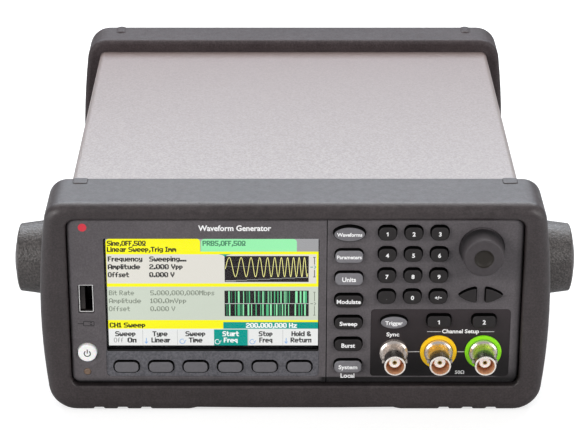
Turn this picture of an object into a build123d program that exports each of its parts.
from build123d import *
import os

# Bench function generator: half-rack instrument with rubber end bumpers, a slide-on
# metal sleeve, a display and keypad front, three front coaxial outputs and a fold-down
# carrying handle.  Millimetres, +Z up, front towards -Y, feet on Z = 0.
# The origin is the centre of the footprint.

os.makedirs("parts", exist_ok=True)

# ------------------------------------------------------------------ driving sizes
SIDES = (-1, 1)           # left and right, as signs of X

PANEL_Y = -118.0          # outer face of the front panel
WALL = 2.4                # front moulding wall
PANEL_BACK = PANEL_Y + WALL
REAR_Y = 118.0            # outer face of the rear wall
SHEET = 1.0               # sleeve sheet
TRAY_SHEET = 1.2          # chassis sheet
TRAY_GAP = 0.3            # chassis to sleeve

CASE_W, CASE_H, CASE_Z0 = 206.0, 88.3, 8.3    # sleeve section and its lowest level
CASE_ZC = CASE_Z0 + CASE_H / 2
OPEN_W, OPEN_H, OPEN_ZC = 204.0, 82.8, 55.1   # opening in the front lip
SEAM_X = 14.1             # seam between the display half and the keypad half
SEAM_GAP = 0.22           # from the seam to each half

WINDOW = (-85.5, 10.7, 30.35, 86.9)       # display window x0 x1 z0 z1
LABEL = (34.1, 97.2, 17.9, 51.8)          # connector label recess x0 x1 z0 z1
LABEL_DEPTH = 0.3
KNOB_X, KNOB_Z = 83.0, 82.1
JACK_X, JACK_Z = (44.7, 65.0, 85.3), 30.4     # front jacks
JACK_HOLE_R = 5.0
POWER_X, POWER_Z = -94.3, 30.0
USB_X, USB_Z = -94.0, 56.9
USB_W, USB_H = 6.5, 13.6
LIGHT_X, LIGHT_Z = -94.6, 20.2

HUB_Y, HUB_Z = -70.0, 55.4                # handle pivot
PIVOT_SCREW_DY = (-8.0, 8.0)


# ------------------------------------------------------------------ helpers
def prism(sketch, y0, y1):
    """Extrudes a sketch drawn in X and Z between two depths."""
    plane = Plane(origin=(0, y1, 0), x_dir=(1, 0, 0), z_dir=(0, -1, 0))
    return extrude(plane * sketch, amount=(y1 - y0))


def side_plane(x):
    """A plane facing +X: local x is Y, local y is Z."""
    return Plane(origin=(x, 0, 0), x_dir=(0, 1, 0), z_dir=(1, 0, 0))


def prism_x(sketch, x0, x1):
    """Extrudes a sketch drawn in Y and Z between two values of X."""
    return extrude(side_plane(x0) * sketch, amount=x1 - x0)


def poly_prism(points, y0, y1):
    """Extrudes a closed polygon of (x, z) points."""
    with BuildSketch() as section:
        with BuildLine():
            Polyline(*points, close=True)
        make_face()
    return prism(section.sketch, y0, y1)


def rounded_at(x, z, width, height, radius):
    return Pos(x, z) * RectangleRounded(width, height, radius)


def rounded(x0, x1, z0, z1, radius):
    return rounded_at((x0 + x1) / 2, (z0 + z1) / 2, x1 - x0, z1 - z0, radius)


def box(x0, x1, y0, y1, z0, z1):
    return Pos((x0 + x1) / 2, (y0 + y1) / 2, (z0 + z1) / 2) * Box(x1 - x0, y1 - y0, z1 - z0)


def cyl_y(x, z, radius, y0, y1):
    return prism(Pos(x, z) * Circle(radius), y0, y1)


def cyl_x(y, z, radius, x0, x1):
    return prism_x(Pos(y, z) * Circle(radius), x0, x1)


def turned(points, x, z, y_ref, sign=-1):
    """Revolves (radius, distance) points about a line along Y through x, z.
    Distances run from y_ref towards the front for sign -1, to the rear for +1."""
    with BuildSketch(Plane.XY) as profile:
        with BuildLine():
            Polyline(*[(r, sign * d) for r, d in points], close=True)
        make_face()
    return Pos(x, y_ref, z) * revolve(profile.sketch, Axis.Y, 360)


def front_edges(solid):
    return solid.faces().sort_by(Axis.Y)[0].edges()


def back_edges(solid):
    return solid.faces().sort_by(Axis.Y)[-1].edges()


def panel_cut(sketch):
    """Cutter through the front panel wall."""
    return prism(sketch, PANEL_Y - 5, PANEL_BACK + 0.5)


def rear_cut(sketch):
    """Cutter through the chassis rear wall."""
    return prism(sketch, REAR_Y - 3, REAR_Y + 1)


def on_side(solid, side):
    """A solid modelled on the right, or its mirror image for the left."""
    return solid if side > 0 else mirror(solid, Plane.YZ)


def save(name, *shapes):
    solids = [solid for shape in shapes for solid in shape.solids()]
    if len(solids) == 1:
        piece = solids[0]
    else:
        piece = Compound(children=[Solid(solid.wrapped) for solid in solids])
    export_step(piece, f"parts/{name}.step")


# ------------------------------------------------------------------ bumpers
FRONT_BUMPER_Y = (-120.0, -88.0)          # front and rear faces
REAR_BUMPER_Y = (99.0, 125.0)
FRONT_HALF = (111.2, 114.9, 110.4)        # half width: at the table, mid height, top line
REAR_HALF = (111.0, 112.9, 108.4)
FRONT_TOP, REAR_TOP = 103.4, 103.0        # tops beside the stacking pads
PAD_TOP = 103.8
BUMPER_LOW_R, FRONT_TOP_R, REAR_TOP_R = 13.0, 9.0, 11.0
CASE_POCKET = rounded_at(0, CASE_ZC, CASE_W + 0.4, CASE_H + 0.4, 3.2)
FOOT_GROOVE_X = (68.2, 79.0, 89.8)
FOOT_CHANNEL = [(-52.5, -1), (-45, 2.5), (-20, 2.1), (20, 2.1), (45, 2.5), (52.5, -1)]  # x, z


def bumper_outline(half, top, top_radius):
    """Bumper section: flat top and bottom, sides bowed outwards."""
    low, mid, up = half
    with BuildSketch() as section:
        with BuildLine():
            Line((-low, 0), (low, 0))
            ThreePointArc((low, 0), (mid, 49), (up, top))
            Line((up, top), (-up, top))
            ThreePointArc((-up, top), (-mid, 49), (-low, 0))
        make_face()
        fillet([v for v in section.vertices() if v.Y < 50], BUMPER_LOW_R)
        fillet([v for v in section.vertices() if v.Y > 102], top_radius)
    return section.sketch


def foot_relief(y0, y1):
    """Shallow channel between the feet, and three grooves across each foot."""
    cut = poly_prism(FOOT_CHANNEL, y0, y1)
    for side in SIDES:
        for groove_x in FOOT_GROOVE_X:
            x = side * groove_x
            cut += poly_prism([(x - 3.6, -1), (x - 2.0, 2.5), (x + 2.0, 2.5), (x + 3.6, -1)],
                              y0, y1)
    return cut


def front_bumper():
    y0, y1 = FRONT_BUMPER_Y
    body = prism(bumper_outline(FRONT_HALF, FRONT_TOP, FRONT_TOP_R), y0, y1)
    body = fillet(front_edges(body), 5.2)
    body = fillet(back_edges(body), 1.4)
    body -= foot_relief(y0 - 1, y1 + 1)
    body -= prism(rounded_at(0, OPEN_ZC, OPEN_W, OPEN_H, 4.4), y0 - 1, y1 + 1)
    inner = [e for e in front_edges(body)
             if abs(e.center().X) < 103 and 12 < e.center().Z < 98]
    # guards against the fillet round the opening failing in the kernel
    try:
        body = fillet(inner, 1.3)
    except Exception:
        body = chamfer(inner, 1.0)
    body -= prism(CASE_POCKET, -112.4, y1 + 1)
    for side in SIDES:
        pad = box(93.6, 100.5, -95.0, -88.7, 100.0, PAD_TOP)
        pad = fillet(pad.edges().filter_by(Axis.Z), 1.2)
        pad = fillet(pad.edges().group_by(Axis.Z)[-1], 0.6)
        body += on_side(pad, side)
    return body


def rear_bumper():
    y0, y1 = REAR_BUMPER_Y
    rib_x, rib_r = 92.6, 4.6
    body = prism(bumper_outline(REAR_HALF, REAR_TOP, REAR_TOP_R), y0, y1)
    body = fillet(back_edges(body), 5.4)
    body = fillet(front_edges(body), 2.4)
    body -= foot_relief(y0 - 1, y1 + 1)
    body -= prism(rounded_at(0, 52.45, 196.0, 78.0, 5.0), y0 - 1, y1 + 1)
    body -= prism(CASE_POCKET, y0 - 1, 118.6)
    for side in SIDES:
        x = side * rib_x
        rib = cyl_y(x, PAD_TOP - rib_r, rib_r, 111.0, 121.0)
        rib = fillet(rib.edges(), 1.4)
        rib &= box(x - 7, x + 7, 100, 124, 98.5, 110)
        body += rib
    return body


save("front_bumper", front_bumper())
save("rear_bumper", rear_bumper())

# ------------------------------------------------------------------ sleeve
SLEEVE_Y = (-105.8, 117.6)
SLOT_Y0, SLOT_PITCH, SLOTS = 12, 9.0, 9
SLOT_ROWS_Z = (36, 60)
SLOT_W, SLOT_H = 3.0, 17.0


def sleeve_cover():
    y0, y1 = SLEEVE_Y
    sleeve = prism(rounded_at(0, CASE_ZC, CASE_W, CASE_H, 3.0), y0, y1)
    sleeve -= prism(rounded_at(0, CASE_ZC, CASE_W - 2 * SHEET, CASE_H - 2 * SHEET, 2.0),
                    y0 - 1, y1 + 1)
    # cooling slots along both sides, ahead of the rear bumper
    for side in SIDES:
        for z in SLOT_ROWS_Z:
            for k in range(SLOTS):
                slot = rounded_at(SLOT_Y0 + k * SLOT_PITCH, z, SLOT_W, SLOT_H, 1.49)
                sleeve -= prism_x(slot, side * 110 - 10, side * 110 + 10)
    # holes for the pivot boss screws
    for side in SIDES:
        for dy in PIVOT_SCREW_DY:
            sleeve -= cyl_x(HUB_Y + dy, HUB_Z, 1.7, side * 110 - 10, side * 110 + 10)
    return sleeve


save("sleeve_cover", sleeve_cover())

# ------------------------------------------------------------------ chassis
TRAY_HALF_W = CASE_W / 2 - SHEET - TRAY_GAP
TRAY_H = CASE_H - 2 * (SHEET + TRAY_GAP)
FAN_X, FAN_Z = 72.0, 66.0
INLET_X, INLET_Z = 70.0, 28.5
REAR_JACKS = ((32.0, 68.0), (9.0, 68.0), (-14.0, 68.0), (-37.0, 68.0))          # x, z
REAR_SCREWS = ((-94.0, 84.0), (94.0, 84.0), (-94.0, 20.0), (94.0, 20.0))        # x, z
EARTH_X, EARTH_Z = -78.0, 24.0
REAR_PORTS = ((-62.0, 30.0, 16.4, 13.6), (-34.0, 30.0, 12.4, 11.2))   # LAN, USB: x z w h
GRILLE_RINGS = ((5.0, 8.2), (10.2, 13.4), (15.4, 18.6))               # inner, outer radius


def fan_grille():
    """Cutter: three ring slots, interrupted by a cross."""
    slots = [rear_cut(Pos(FAN_X, FAN_Z) * Circle(outer))
             - cyl_y(FAN_X, FAN_Z, inner, REAR_Y - 4, REAR_Y + 2)
             for inner, outer in GRILLE_RINGS]
    y0, y1 = REAR_Y - 4, REAR_Y + 2
    cross = box(FAN_X - 20, FAN_X + 20, y0, y1, FAN_Z - 1.1, FAN_Z + 1.1)
    cross += box(FAN_X - 1.1, FAN_X + 1.1, y0, y1, FAN_Z - 20, FAN_Z + 20)
    return (slots[0] + slots[1] + slots[2]) - cross


def chassis():
    inner_y = REAR_Y - TRAY_SHEET
    blank = prism(rounded_at(0, CASE_ZC, 2 * TRAY_HALF_W, TRAY_H, 2.4), -105.0, REAR_Y)
    hollow = prism(rounded_at(0, CASE_ZC, 2 * (TRAY_HALF_W - TRAY_SHEET),
                              TRAY_H - 2 * TRAY_SHEET, 1.2), -106.0, inner_y)
    tray = blank - hollow - box(-110, 110, -106.0, inner_y, 30.0, 100.0)
    # side uprights that take the pivot boss screws
    for side in SIDES:
        x0, x1 = sorted((side * (TRAY_HALF_W - TRAY_SHEET), side * TRAY_HALF_W))
        upright = box(x0, x1, HUB_Y - 16, HUB_Y + 16, 28.0, 72.0)
        for dy in PIVOT_SCREW_DY:
            upright -= cyl_x(HUB_Y + dy, HUB_Z, 1.3, side * 105 - 10, side * 105 + 10)
        tray += upright
    # rear openings
    tray -= fan_grille()
    tray -= rear_cut(Pos(INLET_X, INLET_Z) * Rectangle(28.0, 20.6))
    for x, z in REAR_JACKS:
        tray -= rear_cut(Pos(x, z) * Circle(JACK_HOLE_R))
    for x, z, width, height in REAR_PORTS:
        tray -= rear_cut(Pos(x, z) * Rectangle(width + 0.6, height + 0.6))
    tray -= box(-92.0, -84.6, REAR_Y - 3, REAR_Y + 1, 66.0, 69.2)      # security lock slot
    tray -= rear_cut(Pos(EARTH_X, EARTH_Z) * Circle(2.1))
    for x, z in REAR_SCREWS:
        tray -= rear_cut(Pos(x, z) * Circle(1.6))
    return tray


save("chassis", chassis())

# ------------------------------------------------------------------ keys
KEY_GAP = 0.32            # key to hole
KEY_PROUD = 2.3
KEY_LIP = 0.6             # flange behind the panel, beyond the hole
SOFT_BAY_DEPTH = 0.5      # recess the soft keys stand in
# hole shapes: kind, width, height, corner radius
SOFT_KEY = ("rect", 12.3, 6.7, 2.9)
WAVEFORMS_KEY = ("ellipse", 14.9, 8.0, 0)
FUNCTION_KEY = ("rect", 13.3, 6.9, 2.9)
NUMBER_KEY = ("rect", 8.7, 7.3, 3.1)
TRIGGER_KEY = ("ellipse", 12.7, 6.8, 0)
CHANNEL_KEY = ("rect", 11.4, 6.8, 2.4)
POWER_KEY = ("round", 9.4, 9.4, 0)

SOFT_X0, SOFT_PITCH, SOFT_Z = -76.7, 15.72, 22.65
FUNCTION_X, FUNCTION_Z0, FUNCTION_PITCH = 24.0, 78.8, 11.02
FUNCTION_NAMES = ("parameters", "units", "modulate", "sweep", "burst", "system")
NUMBER_X0, NUMBER_Z0 = 40.9, 90.05
NUMBER_PITCH_X, NUMBER_PITCH_Z = 11.6, 10.43
NUMBER_NAMES = ("1", "2", "3", "4", "5", "6", "7", "8", "9", "point", "0", "sign")
LABEL_KEYS = (            # name, shape, x, z
    ("trigger_key", TRIGGER_KEY, 44.5, 46.1),
    ("channel_1_key", CHANNEL_KEY, 64.8, 46.5),
    ("channel_2_key", CHANNEL_KEY, 85.1, 46.5),
)
CURSOR_X, CURSOR_Z = 83.2, 59.4
LENS_R, LENS_OFFSET = 15.5, 11.4          # the two arcs of the cursor lens


def key_outline(shape, x, z, grow=0.0):
    kind, width, height, radius = shape
    width, height = width + 2 * grow, height + 2 * grow
    if kind == "ellipse":
        return Pos(x, z) * Ellipse(width / 2, height / 2)
    if kind == "round":
        return Pos(x, z) * Circle(width / 2)
    return rounded_at(x, z, width, height, radius + grow)


def key_cap(cap_sketch, lip_sketch, proud, edge_radius):
    cap = prism(cap_sketch, PANEL_Y - proud, PANEL_BACK + 0.5)
    cap = fillet(front_edges(cap), edge_radius)
    return cap + prism(lip_sketch, PANEL_BACK + 0.12, PANEL_BACK + 0.92)


def key(shape, x, z, proud=KEY_PROUD, edge_radius=0.75, lip=KEY_LIP, gap=KEY_GAP):
    """The cutter for the hole, and the key standing in it."""
    cap = key_cap(key_outline(shape, x, z, -gap), key_outline(shape, x, z, lip),
                  proud, edge_radius)
    return panel_cut(key_outline(shape, x, z)), cap


def cursor_keys():
    """The two halves of a pointed lens."""
    lens = ((Pos(CURSOR_X, CURSOR_Z - LENS_OFFSET) * Circle(LENS_R))
            & (Pos(CURSOR_X, CURSOR_Z + LENS_OFFSET) * Circle(LENS_R)))
    half_lens = lens & (Pos(CURSOR_X + 6.85, CURSOR_Z) * Rectangle(10.3, 20))
    half_lens = fillet(half_lens.vertices(), 0.9)
    cap_sketch = offset(half_lens, amount=-KEY_GAP)
    lip_sketch = offset(half_lens, amount=KEY_LIP)
    hole = panel_cut(half_lens)
    cap = key_cap(cap_sketch, lip_sketch, proud=1.9, edge_radius=0.5)
    middle = Plane(origin=(CURSOR_X, 0, 0), z_dir=(1, 0, 0))
    return {"cursor_right_key": (hole, cap),
            "cursor_left_key": (mirror(hole, middle), mirror(cap, middle))}


def display_half_keys():
    keys = {}
    for i in range(6):
        keys[f"soft_key_{i + 1}"] = key(SOFT_KEY, SOFT_X0 + SOFT_PITCH * i, SOFT_Z,
                                        proud=1.2 - SOFT_BAY_DEPTH, gap=0.55)
    keys["power_key"] = key(POWER_KEY, POWER_X, POWER_Z, proud=1.1, edge_radius=0.6,
                            lip=0.4, gap=0.45)
    return keys


def keypad_half_keys():
    keys = {"waveforms_key": key(WAVEFORMS_KEY, FUNCTION_X, 89.8)}
    for i, name in enumerate(FUNCTION_NAMES):
        keys[f"{name}_key"] = key(FUNCTION_KEY, FUNCTION_X, FUNCTION_Z0 - FUNCTION_PITCH * i)
    for i, name in enumerate(NUMBER_NAMES):
        row, column = divmod(i, 3)
        keys[f"number_key_{name}"] = key(NUMBER_KEY, NUMBER_X0 + NUMBER_PITCH_X * column,
                                         NUMBER_Z0 - NUMBER_PITCH_Z * row)
    for name, shape, x, z in LABEL_KEYS:
        keys[name] = key(shape, x, z)
    keys.update(cursor_keys())
    return keys


display_keys = display_half_keys()
keypad_keys = keypad_half_keys()
for name, (_, cap) in {**display_keys, **keypad_keys}.items():
    save(name, cap)


# ------------------------------------------------------------------ front mouldings
def front_moulding():
    """Both halves in one, before the cut at the seam."""
    body = prism(rounded_at(0, OPEN_ZC, OPEN_W - 0.8, OPEN_H - 0.8, 4.0), PANEL_Y, -106.0)
    body = fillet(front_edges(body), 1.7)
    body += prism(rounded_at(0, CASE_ZC, CASE_W, CASE_H, 3.0), -112.2, -106.0)
    body -= prism(rounded_at(0, OPEN_ZC, OPEN_W - 5.0, OPEN_H - 4.0, 3.6), PANEL_BACK, -105.0)
    return body


def display_bezel(moulding):
    half = moulding & box(-120, SEAM_X - SEAM_GAP, -130, -100, 0, 110)
    half -= prism(rounded(-85.9, 10.9, 17.6, 32.6, 2.2), PANEL_Y - 5, PANEL_Y + SOFT_BAY_DEPTH)
    half -= panel_cut(rounded(*WINDOW, 0.9))
    # dished recess round the power key
    half -= turned([(0, -1), (7.1, -1), (7.1, 0), (4.9, 0.55), (0, 0.55)],
                   POWER_X, POWER_Z, PANEL_Y, sign=1)
    half -= panel_cut(rounded_at(USB_X, USB_Z, 7.3, 14.3, 0.7))
    half -= panel_cut(Pos(LIGHT_X, LIGHT_Z) * Circle(1.75))
    for hole, _ in display_keys.values():
        half -= hole
    return half


def keypad_bezel(moulding):
    half = moulding & box(SEAM_X + SEAM_GAP, 120, -130, -100, 0, 110)
    half -= prism(rounded(*LABEL, 1.6), PANEL_Y - 5, PANEL_Y + LABEL_DEPTH)
    half -= panel_cut(Pos(KNOB_X, KNOB_Z) * Circle(3.8))
    # shallow recess under the knob
    half -= turned([(0, -1), (10.25, -1), (10.25, 0), (9.7, 0.5), (0, 0.5)],
                   KNOB_X, KNOB_Z, PANEL_Y, sign=1)
    for x in JACK_X:
        half -= panel_cut(Pos(x, JACK_Z) * Circle(JACK_HOLE_R))
    for hole, _ in keypad_keys.values():
        half -= hole
    return half


def connector_label():
    x0, x1, z0, z1 = LABEL
    gap = 0.15
    label = prism(rounded(x0 + gap, x1 - gap, z0 + gap, z1 - gap, 1.5),
                  PANEL_Y - 0.1, PANEL_Y + LABEL_DEPTH)
    for x in JACK_X:
        label -= cyl_y(x, JACK_Z, JACK_HOLE_R, PANEL_Y - 5, PANEL_Y + 5)
    for _, shape, x, z in LABEL_KEYS:
        label -= prism(key_outline(shape, x, z, 0.1), PANEL_Y - 5, PANEL_Y + 5)
    return label


moulding = front_moulding()
save("display_bezel", display_bezel(moulding))
save("keypad_bezel", keypad_bezel(moulding))
save("connector_label", connector_label())

# ------------------------------------------------------------------ display
LCD_X, LCD_Z, LCD_W, LCD_H = -37.15, 58.35, 95.04, 53.86      # active area


def display_lens():
    x0, x1, z0, z1 = WINDOW
    lap = 2.0
    return prism(rounded(x0 - lap, x1 + lap, z0 - lap, z1 + lap, 1.0),
                 PANEL_BACK + 0.05, PANEL_BACK + 0.75)


def display_module():
    module = box(LCD_X - 51.5, LCD_X + 51.5, PANEL_Y + 3.5, PANEL_Y + 6.4, 27.7, 90.8)
    module = fillet(module.edges().filter_by(Axis.Y), 1.0)
    # the active area is a shallow recess
    module -= prism(Pos(LCD_X, LCD_Z) * Rectangle(LCD_W, LCD_H), PANEL_Y + 3.0, PANEL_Y + 3.75)
    return module


save("display_lens", display_lens())
save("display_module", display_module())

# ------------------------------------------------------------------ keypad backing
MEMBRANE_Y = (PANEL_Y + 4.75, PANEL_Y + 5.55)
BOARD_Y = (PANEL_Y + 5.7, PANEL_Y + 7.3)
JACK_CLEAR_R = 7.6


def key_membrane():
    y0, y1 = MEMBRANE_Y
    sheet = prism(rounded(-84.5, 15.4, 17.9, 27.2, 1.0), y0, y1)
    sheet += prism(rounded(14.4, 97.4, 17.9, 93.0, 1.0) & rounded(15.8, 97.4, 17.9, 93.0, 1.0),
                   y0, y1)
    sheet += prism(rounded(15.0, 18.0, 17.9, 27.2, 0.4), y0, y1)
    sheet -= cyl_y(KNOB_X, KNOB_Z, 9.0, y0 - 1, y1 + 1)
    for x in JACK_X:
        sheet -= cyl_y(x, JACK_Z, JACK_CLEAR_R, y0 - 1, y1 + 1)
    return sheet


def front_board():
    y0, y1 = BOARD_Y
    board = prism(rounded(-98.0, 97.8, 17.2, 27.2, 2.4), y0, y1)
    board += prism(rounded(15.8, 97.8, 17.2, 93.2, 2.4), y0, y1)
    board += prism(rounded(-98.6, -89.5, 19.6, 66.0, 1.0), y0, y1)
    board -= prism(rounded_at(USB_X, USB_Z, USB_W + 0.2, USB_H + 0.2, 0.5), y0 - 1, y1 + 1)
    for x in JACK_X:
        board -= cyl_y(x, JACK_Z, JACK_CLEAR_R, y0 - 1, y1 + 1)
    # power switch
    board += box(-97.6, -91.0, y0 - 1.0, y0 + 0.2, 26.8, 33.2)
    # encoder body and bush
    half = 6.2
    encoder = box(KNOB_X - half, KNOB_X + half, PANEL_Y + 3.0, y0 + 0.1,
                  KNOB_Z - half, KNOB_Z + half)
    encoder += cyl_y(KNOB_X, KNOB_Z, 3.6, PANEL_Y - 0.1, PANEL_Y + 3.5)
    encoder -= cyl_y(KNOB_X, KNOB_Z, 3.05, PANEL_Y - 5, PANEL_Y + 4.9)
    return board + encoder


def status_light():
    """A small moulded light pipe."""
    pipe = cyl_y(LIGHT_X, LIGHT_Z, 1.65, PANEL_Y - 0.3, PANEL_BACK + 0.6)
    pipe = fillet(front_edges(pipe), 0.5)
    return pipe + cyl_y(LIGHT_X, LIGHT_Z, 2.3, PANEL_BACK + 0.1, PANEL_BACK + 1.4)


def usb_port():
    shell = prism(rounded_at(USB_X, USB_Z, USB_W, USB_H, 0.5), PANEL_Y + 0.9, PANEL_Y + 15.0)
    shell -= prism(rounded_at(USB_X, USB_Z, USB_W - 0.8, USB_H - 0.8, 0.3),
                   PANEL_Y - 1, PANEL_Y + 14.0)
    for dz in (-3.4, 3.4):
        z = USB_Z + dz
        shell -= box(USB_X - 5, USB_X + 5, PANEL_Y + 3.6, PANEL_Y + 8.5, z - 0.9, z + 0.9)
    tongue = box(USB_X - 2.45, USB_X - 0.55, PANEL_Y + 1.6, PANEL_Y + 13.9,
                 USB_Z - 5.6, USB_Z + 5.6)
    return shell, tongue


save("key_membrane", key_membrane())
save("front_board", front_board())
save("status_light", status_light())
save("usb_port", *usb_port())

# ------------------------------------------------------------------ coaxial jacks
# profiles: radius, distance out from the panel
SHELL_PROFILE = [
    (4.1, 14.3), (4.62, 14.3), (4.825, 14.0), (4.825, 10.4), (4.6, 10.2), (4.6, 7.2),
    (4.3, 6.8), (4.3, 2.9), (5.6, 2.9), (6.4, 2.1), (6.4, 0.1), (4.5, 0.1), (4.5, -3.0),
    (6.6, -3.0), (6.6, -9.0), (4.2, -9.0), (4.2, -14.0), (1.9, -14.0), (1.9, 5.2), (4.1, 5.2),
]
INSULATOR_PROFILE = [
    (1.08, -13.5), (1.85, -13.5), (1.85, 5.3), (4.05, 5.3), (4.05, 7.4), (2.55, 7.4),
    (2.55, 10.6), (2.35, 10.8), (1.08, 10.8),
]
CONTACT_PROFILE = [(0, -14.5), (1.02, -14.5), (1.02, 10.7), (0.66, 10.7), (0.66, 6.0), (0, 6.0)]
# places: x, z, reference depth, direction outwards
JACKS = ([(x, JACK_Z, PANEL_Y - 0.02, -1) for x in JACK_X]
         + [(x, z, REAR_Y + 0.02, 1) for x, z in REAR_JACKS])
RING_OD, RING_ID = 16.6, 13.2


def jack_shell(x, z, y, sign):
    """Shell with two bayonet lugs."""
    shell = turned(SHELL_PROFILE, x, z, y, sign)
    for side in SIDES:
        shell += Pos(x + side * 4.7, y + sign * 9.2, z) * Rot(0, 90, 0) * Cylinder(1.05, 1.9)
    return shell


def channel_ring(x):
    ring = cyl_y(x, JACK_Z, RING_OD / 2, PANEL_Y - 0.9, PANEL_Y - 0.1)
    ring = fillet(front_edges(ring), 0.3)
    return ring - cyl_y(x, JACK_Z, RING_ID / 2, PANEL_Y - 5, PANEL_Y + 5)


save("coax_shells", *[jack_shell(*place) for place in JACKS])
save("coax_insulators", *[turned(INSULATOR_PROFILE, *place) for place in JACKS])
save("coax_contacts", *[turned(CONTACT_PROFILE, *place) for place in JACKS])
save("channel_rings", *[channel_ring(x) for x in JACK_X[1:]])

# ------------------------------------------------------------------ knob
# profiles: radius, distance in front of the panel
KNOB_PROFILE = [
    (4.6, 1.0), (8.0, 1.0), (8.0, 0.6), (9.65, 0.6), (9.8, 0.9), (9.8, 1.8), (9.0, 9.8),
    (8.9, 10.3), (8.72, 10.7), (8.4, 10.98), (7.9, 11.15), (6.6, 11.4), (4.75, 11.75),
    (4.45, 11.72), (4.2, 11.5), (3.85, 10.95), (3.1, 10.55), (1.6, 10.3), (0, 10.25),
    (0, 6.6), (3.02, 6.6), (3.02, 1.0),
]
SHAFT_PROFILE = [(0, -4.6), (3.0, -4.6), (3.0, 6.2), (2.7, 6.5), (0, 6.5)]
save("tuning_knob", turned(KNOB_PROFILE, KNOB_X, KNOB_Z, PANEL_Y))
save("encoder_shaft", turned(SHAFT_PROFILE, KNOB_X, KNOB_Z, PANEL_Y))

# ------------------------------------------------------------------ handle
BAR_Y, BAR_Z = 32.5, 4.25                 # grip bar when folded flat
BAR_D, BAR_T, BAR_R = 24.0, 6.2, 3.0      # bar section
GRIP_D, GRIP_T, GRIP_X = 20.6, 3.9, 86.0  # core under the grip, half length of the grip
HUB_X0, HUB_X1 = 107.2, 130.55
ARM_X0, ARM_X1 = 117.4, 126.2


def hub_and_arm():
    # domed drum, tapered outwards
    with BuildSketch(Plane.XY) as profile:
        with BuildLine():
            Polyline((HUB_X0, 0), (HUB_X0, 17.1), (HUB_X0 + 0.5, 17.45), (117.5, 17.3),
                     (127.8, 15.9))
            Spline((127.8, 15.9), (128.75, 14.9), (130.0, 8.5), (HUB_X1, 0),
                   tangents=((0.98, -0.12), (0, -1)))
            Line((HUB_X1, 0), (HUB_X0, 0))
        make_face()
    drum = Pos(0, HUB_Y, HUB_Z) * revolve(profile.sketch, Axis.X, 360)
    # arm: hull of a disc at the pivot and the bar's section
    with BuildSketch(side_plane(ARM_X0)) as hull:
        with Locations((HUB_Y, HUB_Z)):
            Circle(12.4)
        with Locations((BAR_Y, BAR_Z)):
            RectangleRounded(BAR_D, BAR_T, BAR_R)
        make_hull()
    arm = extrude(hull.sketch, amount=ARM_X1 - ARM_X0)
    arm = fillet(arm.faces().sort_by(Axis.X)[-1].edges(), 1.9)
    arm = fillet(arm.faces().sort_by(Axis.X)[0].edges(), 1.0)
    return drum + arm


def carry_handle():
    right = hub_and_arm()
    handle = right + mirror(right, Plane.YZ)
    core_x, bar_x = ARM_X0 + 2.5, ARM_X0 + 2.0
    handle += prism_x(rounded_at(BAR_Y, BAR_Z, GRIP_D, GRIP_T, 1.9), -core_x, core_x)
    # full section of the bar between each arm and the grip
    for x0, x1 in ((-bar_x, -GRIP_X), (GRIP_X, bar_x)):
        handle += prism_x(rounded_at(BAR_Y, BAR_Z, BAR_D, BAR_T, BAR_R), x0, x1)
    for side in SIDES:
        handle -= cyl_x(HUB_Y, HUB_Z, 8.05, *sorted((side * (HUB_X0 - 1), side * 122.6)))
    return handle


def handle_grip():
    with BuildSketch(side_plane(-GRIP_X + 0.1)) as section:
        with Locations((BAR_Y, BAR_Z)):
            RectangleRounded(BAR_D + 0.2, BAR_T + 0.2, 3.1)
            RectangleRounded(GRIP_D + 0.1, GRIP_T + 0.1, 1.95, mode=Mode.SUBTRACT)
    grip = extrude(section.sketch, amount=2 * GRIP_X - 0.2)
    # shallow finger grooves across the lower face of the grip
    low_z = BAR_Z - BAR_T / 2
    for k in range(-16, 17):
        x = k * 5.0
        grip -= box(x - 0.7, x + 0.7, BAR_Y - 9.5, BAR_Y + 9.5, low_z - 0.2, low_z + 0.25)
    return grip


def pivot_boss(side):
    boss = cyl_x(HUB_Y, HUB_Z, 14.0, 103.05, 106.6)
    boss += cyl_x(HUB_Y, HUB_Z, 8.0, 106.0, 122.2)
    boss -= cyl_x(HUB_Y, HUB_Z, 5.0, 110.0, 123.0)
    return on_side(boss, side)


save("carry_handle", carry_handle())
save("handle_grip", handle_grip())
save("pivot_bosses", *[pivot_boss(side) for side in SIDES])

# ------------------------------------------------------------------ fan
FAN_HALF = 20
FAN_FRONT_Y = REAR_Y - 21.3
FAN_BLADES = 7


def fan_frame():
    frame = box(FAN_X - FAN_HALF, FAN_X + FAN_HALF, FAN_FRONT_Y, REAR_Y - 1.3,
                FAN_Z - FAN_HALF, FAN_Z + FAN_HALF)
    frame = fillet(frame.edges().filter_by(Axis.Y), 3.0)
    frame -= cyl_y(FAN_X, FAN_Z, 19.0, REAR_Y - 30, REAR_Y + 1)
    for dx in (-16, 16):
        for dz in (-16, 16):
            frame -= cyl_y(FAN_X + dx, FAN_Z + dz, 1.7, REAR_Y - 30, REAR_Y + 1)
    hub = Pos(FAN_X, REAR_Y - 20.3, FAN_Z)
    for k in range(3):
        frame += hub * Rot(0, 120 * k, 0) * Pos(10.5, 0, 0) * Box(18.5, 2.0, 2.4)
    frame += cyl_y(FAN_X, FAN_Z, 8.0, FAN_FRONT_Y, REAR_Y - 19.3)
    frame += cyl_y(FAN_X, FAN_Z, 1.5, REAR_Y - 20.0, REAR_Y - 8.0)
    return frame


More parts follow.
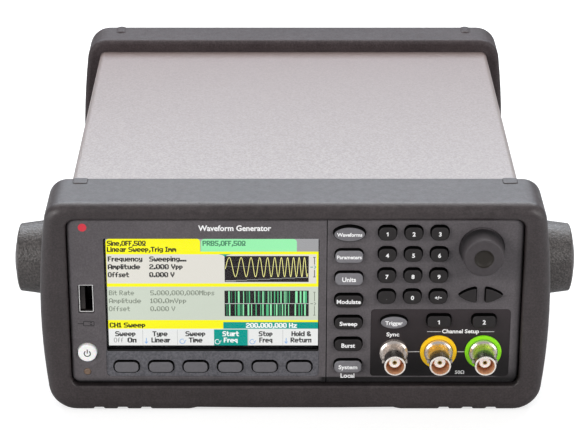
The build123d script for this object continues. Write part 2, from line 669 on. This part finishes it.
def fan_rotor():
    rotor = cyl_y(FAN_X, FAN_Z, 9.6, REAR_Y - 18.6, REAR_Y - 3.5)
    rotor = fillet(back_edges(rotor), 1.2)
    hub = Pos(FAN_X, REAR_Y - 11.5, FAN_Z)
    for k in range(FAN_BLADES):
        turn = Rot(0, 360 / FAN_BLADES * k, 0)
        rotor += hub * turn * Pos(13.6, 0, 0) * Rot(38, 0, 0) * Box(9.4, 11.5, 1.3)
    rotor &= cyl_y(FAN_X, FAN_Z, 18.4, REAR_Y - 18.6, REAR_Y - 3.0)
    rotor -= cyl_y(FAN_X, FAN_Z, 1.56, REAR_Y - 19.0, REAR_Y - 7.6)
    return rotor


save("fan_frame", fan_frame())
save("fan_rotor", fan_rotor())

# ------------------------------------------------------------------ rear connectors
INLET_SOCKET = [(-12.2, -8.2), (12.2, -8.2), (12.2, 3.6), (7.6, 8.2), (-7.6, 8.2), (-12.2, 3.6)]
INLET_BLADES = ((-7.0, -1.4), (0.0, 2.6), (7.0, -1.4))    # both: x, z from the inlet centre


def mains_inlet():
    inlet = prism(rounded_at(INLET_X, INLET_Z, 31.0, 23.4, 2.0), REAR_Y + 0.05, REAR_Y + 2.4)
    inlet += prism(Pos(INLET_X, INLET_Z) * Rectangle(27.6, 20.2), REAR_Y - 20, REAR_Y + 0.5)
    inlet -= poly_prism([(INLET_X + dx, INLET_Z + dz) for dx, dz in INLET_SOCKET],
                        REAR_Y - 14.5, REAR_Y + 3)
    for dx, dz in INLET_BLADES:
        inlet += prism(Pos(INLET_X + dx, INLET_Z + dz) * Rectangle(2.0, 4.0),
                       REAR_Y - 14.5, REAR_Y - 1.5)
    return inlet


def rear_port(x, z, width, height):
    x0, x1, z0, z1 = x - width / 2, x + width / 2, z - height / 2, z + height / 2
    port = box(x0, x1, REAR_Y - 14, REAR_Y + 0.6, z0, z1)
    port -= box(x0 + 2.0, x1 - 2.0, REAR_Y - 12, REAR_Y + 2, z0 + 2.0, z1 - 2.2)
    if width < 14:    # USB tongue, otherwise the LAN latch notch
        port += box(x - 2.9, x + 2.9, REAR_Y - 12, REAR_Y - 1.0, z - 1.6, z + 1.6)
    else:
        port -= box(x - 3.4, x + 3.4, REAR_Y - 12, REAR_Y + 2, z0 + 0.8, z)
    return port


save("mains_inlet", mains_inlet())
save("rear_ports", *[rear_port(*port) for port in REAR_PORTS])

# ------------------------------------------------------------------ inside
BOARD_TOP = 16.6
CHIPS = (                 # x0, y0, width, depth, height
    (-70, -40, 28, 28, 2.4), (-20, -44, 22, 22, 2.2), (-74, 30, 18, 12, 1.6),
    (-40, 36, 18, 12, 1.6), (10, 24, 30, 40, 7.0), (-20, 70, 20, 14, 3.0),
    (22, -60, 26, 46, 6.0),
)
BOARD_HOLES = ((-92, -94), (52, -94), (-92, 108), (52, 104), (-20, 0))    # x, y


def main_board():
    board = box(-96.0, 56.0, -98.0, 112.0, 15.0, BOARD_TOP)
    for x, y, width, depth, height in CHIPS:
        board += box(x, x + width, y, y + depth, BOARD_TOP - 0.05, BOARD_TOP + height)
    for x, y in BOARD_HOLES:
        board -= Pos(x, y, 15.8) * Cylinder(1.7, 4)
    return board


def power_supply():
    """Slotted cage, and the board with its transformer and two capacitors."""
    cage = box(60.0, 99.0, -54.0, 94.0, 13.0, 84.0)
    cage -= box(61.2, 97.8, -52.8, 92.8, 10.0, 82.8)
    for k in range(10):
        y = -48 + 13.5 * k
        for x in (59.0, 97.0):
            cage -= box(x, x + 3.0, y, y + 4, 46.0, 76.0)
    board = box(61.6, 97.4, -52.4, 92.4, 14.0, 15.6)
    board += box(66.0, 93.0, -10.0, 26.0, 15.55, 46.0)
    board += Pos(79.0, 52.0, 33.0) * Cylinder(11.0, 35.0)
    board += Pos(79.0, 76.0, 29.0) * Cylinder(8.0, 27.0)
    return cage, board


save("main_board", main_board())
save("power_supply", *power_supply())


# ------------------------------------------------------------------ fasteners
def rear_screw(x, z):
    screw = cyl_y(x, z, 3.0, REAR_Y + 0.05, REAR_Y + 2.3)
    screw = fillet(back_edges(screw), 0.9)
    screw += cyl_y(x, z, 1.45, REAR_Y - 6, REAR_Y + 1)
    return screw - cyl_y(x, z, 1.1, REAR_Y + 0.9, REAR_Y + 3)


def earth_screw():
    screw = cyl_y(EARTH_X, EARTH_Z, 4.2, REAR_Y + 0.05, REAR_Y + 3.0)
    screw += cyl_y(EARTH_X, EARTH_Z, 2.0, REAR_Y - 6, REAR_Y + 1)
    return screw - box(EARTH_X - 5, EARTH_X + 5, REAR_Y + 2, REAR_Y + 4,
                       EARTH_Z - 0.5, EARTH_Z + 0.5)


def pivot_screw(side, dy):
    screw = cyl_x(HUB_Y + dy, HUB_Z, 1.25, 98.0, 103.0)
    screw += cyl_x(HUB_Y + dy, HUB_Z, 2.6, 98.0, 100.4)
    return on_side(screw, side)


save("case_screws", *[rear_screw(x, z) for x, z in REAR_SCREWS], earth_screw(),
     *[pivot_screw(side, dy) for side in SIDES for dy in PIVOT_SCREW_DY])
